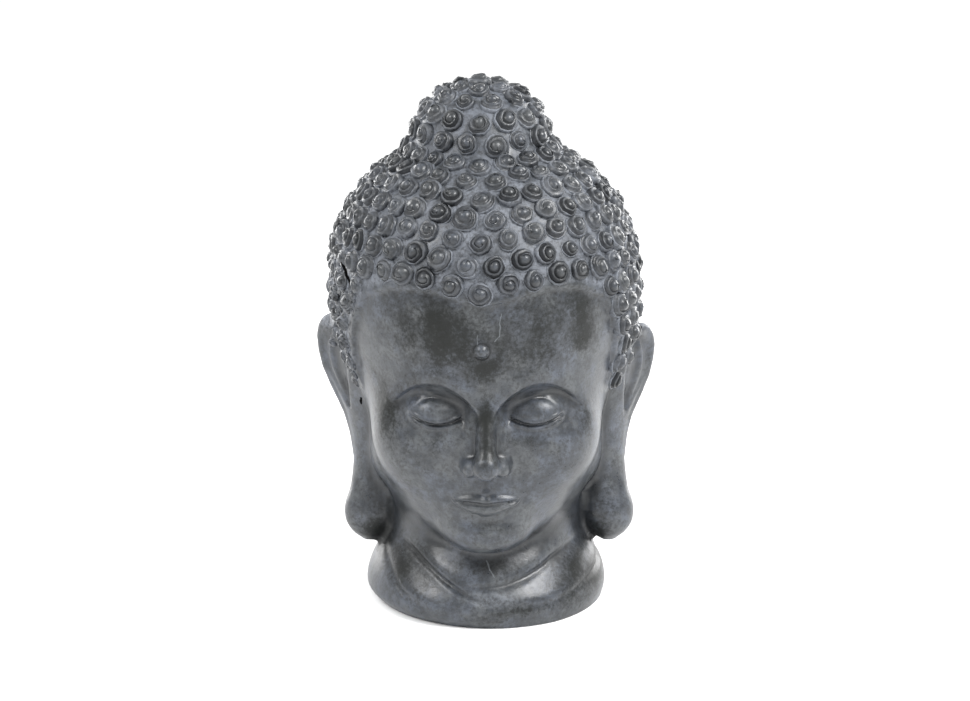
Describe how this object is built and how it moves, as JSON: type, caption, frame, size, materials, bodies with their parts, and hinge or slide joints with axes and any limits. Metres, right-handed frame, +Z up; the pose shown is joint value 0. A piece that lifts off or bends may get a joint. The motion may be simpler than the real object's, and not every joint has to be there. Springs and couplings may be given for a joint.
{
  "type": "buddha head sculpture",
  "caption": "Cast stone head with lowered lids, long ear lobes, snail curls rising to a knob of hair, and a ringed neck cut flat to stand on.",
  "frame": {"origin": "middle of the flat underside, on the axis of the neck's foot", "axes": "+Z up along the neck, -Y the way the face looks, +X to the right of a viewer who faces it"},
  "size_m": [0.2539, 0.263, 0.393],
  "materials": {
    "cast_stone": "satin, charcoal with a pale blue-grey wash in the hollows and fine pits"
  },
  "bodies": {
    "root": {"buddha_head": "cast_stone"}
  },
  "joints": []
}
